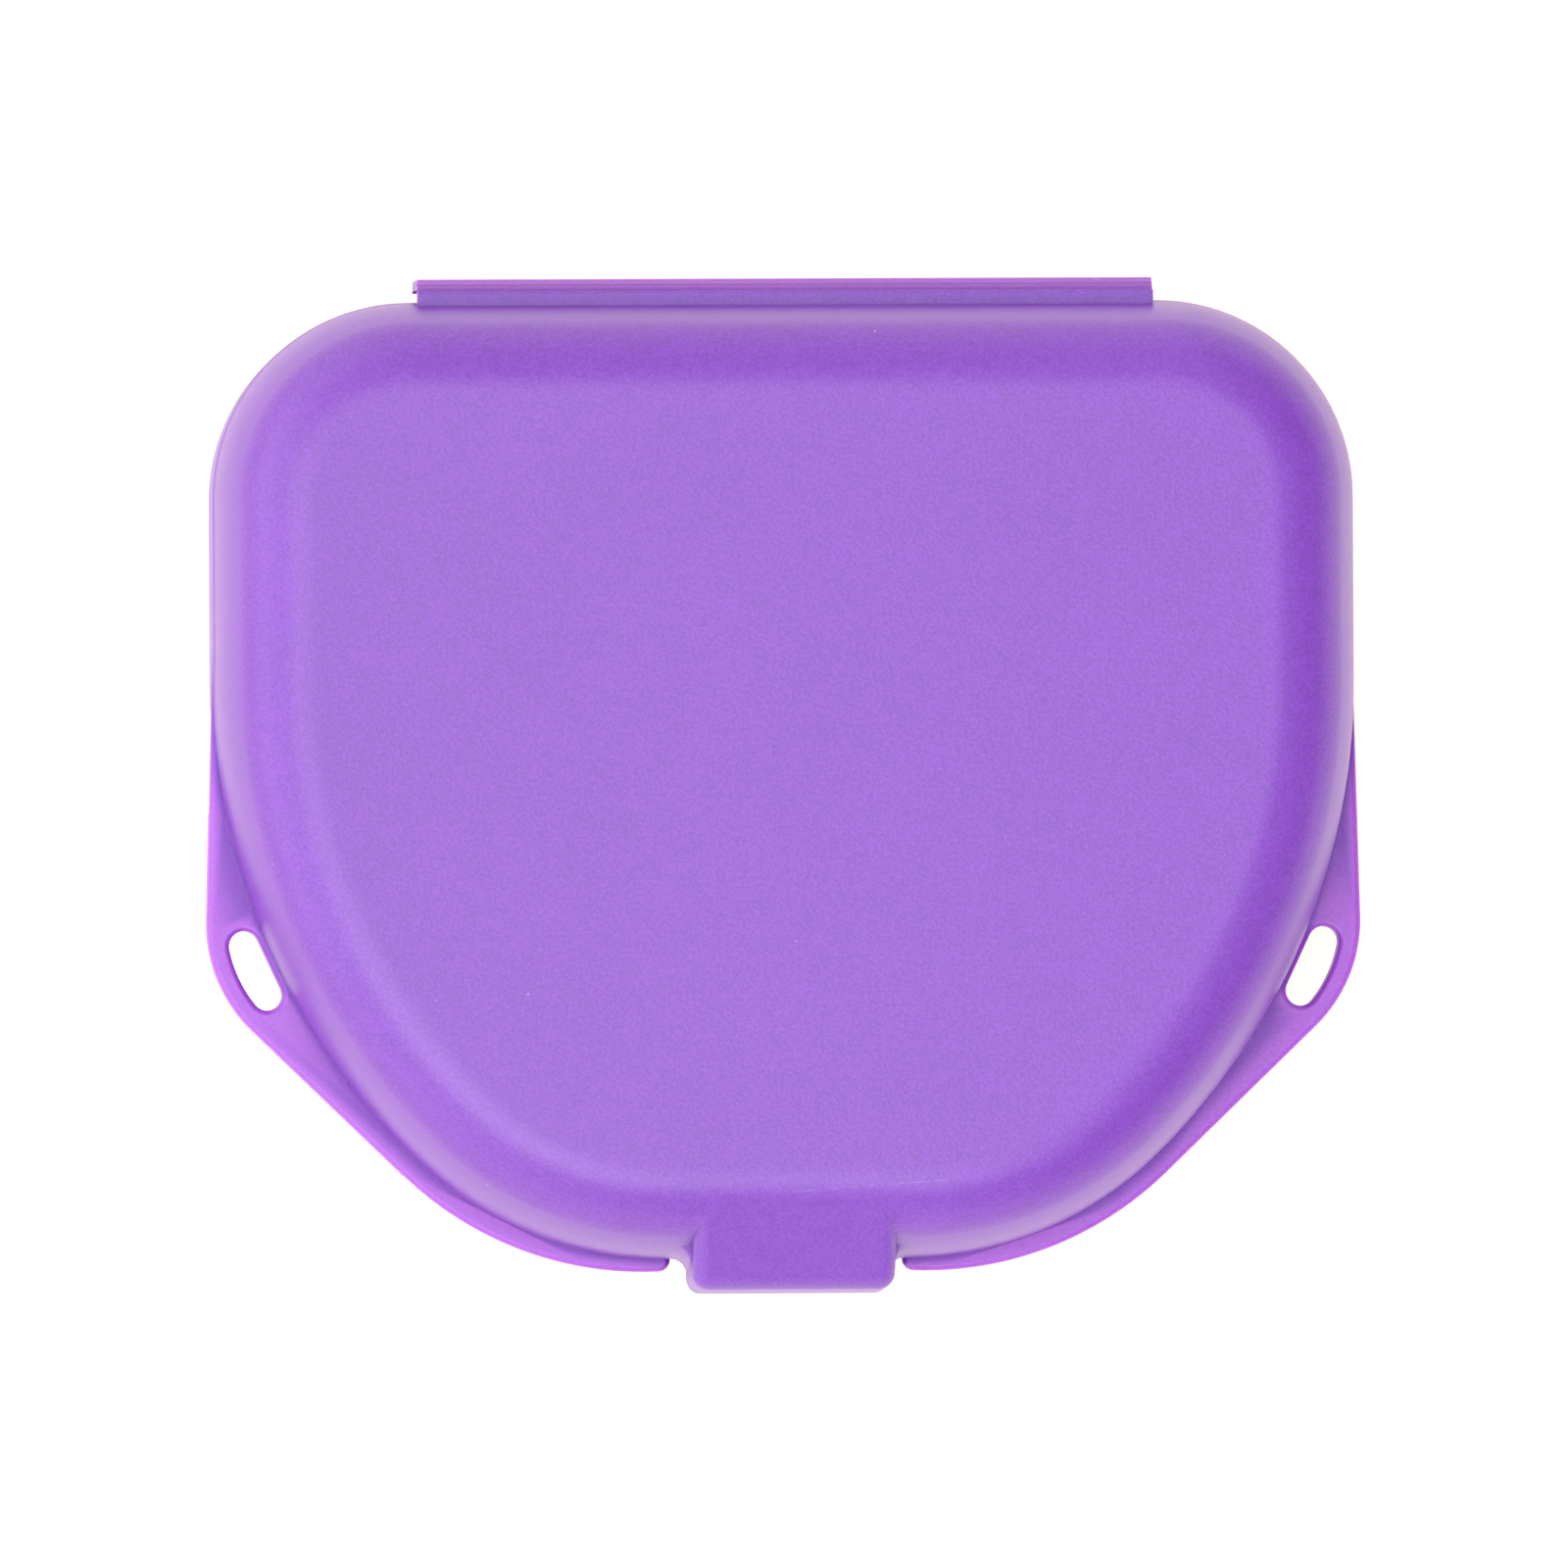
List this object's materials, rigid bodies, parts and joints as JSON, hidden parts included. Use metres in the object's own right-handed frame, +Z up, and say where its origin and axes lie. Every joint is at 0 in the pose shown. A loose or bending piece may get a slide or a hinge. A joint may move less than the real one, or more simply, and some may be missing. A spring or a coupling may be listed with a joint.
{
  "type": "retainer case",
  "caption": "Domed D-shaped clamshell case for a dental retainer, with a folding strap hinge, a front snap latch and slotted lanyard ears on the tray's flange.",
  "frame": {"origin": "under the middle of the closed case, on the surface that it lies on", "axes": "+X to the right across the case, +Y to the hinge at the rear, +Z up"},
  "size_m": [0.082, 0.072, 0.026],
  "materials": {
    "case_plastic": "fine satin grain, purple",
    "web_plastic": "thin, slightly translucent, purple"
  },
  "bodies": {
    "base": {"base_tray": "case_plastic", "base_hinge_web": "web_plastic"},
    "strap": {"hinge_strap": "case_plastic", "lid_hinge_web": "web_plastic"},
    "lid": {"lid_shell": "case_plastic"},
    "latch": {"latch_tongue": "case_plastic"}
  },
  "joints": [
    {"name": "lower_crease", "type": "hinge", "parent": "base", "child": "strap", "pos_m": [0, 0.03531, 0.01147], "axis": [-1, 0, 0], "range_deg": [0, 90], "deforming": ["base_hinge_web"]},
    {"name": "upper_crease", "type": "hinge", "parent": "strap", "child": "lid", "pos_m": [0, 0.03531, 0.01668], "axis": [-1, 0, 0], "range_deg": [0, 90], "deforming": ["lid_hinge_web"]},
    {"name": "latch_flex", "type": "hinge", "parent": "lid", "child": "latch", "pos_m": [0, -0.03533, 0.01415], "axis": [-1, 0, 0], "range_deg": [0, 10], "stiffness_Nm_per_rad": 0.2}
  ],
  "couplings": [
    {"joint": "upper_crease", "follows": "lower_crease", "ratio": 1}
  ]
}
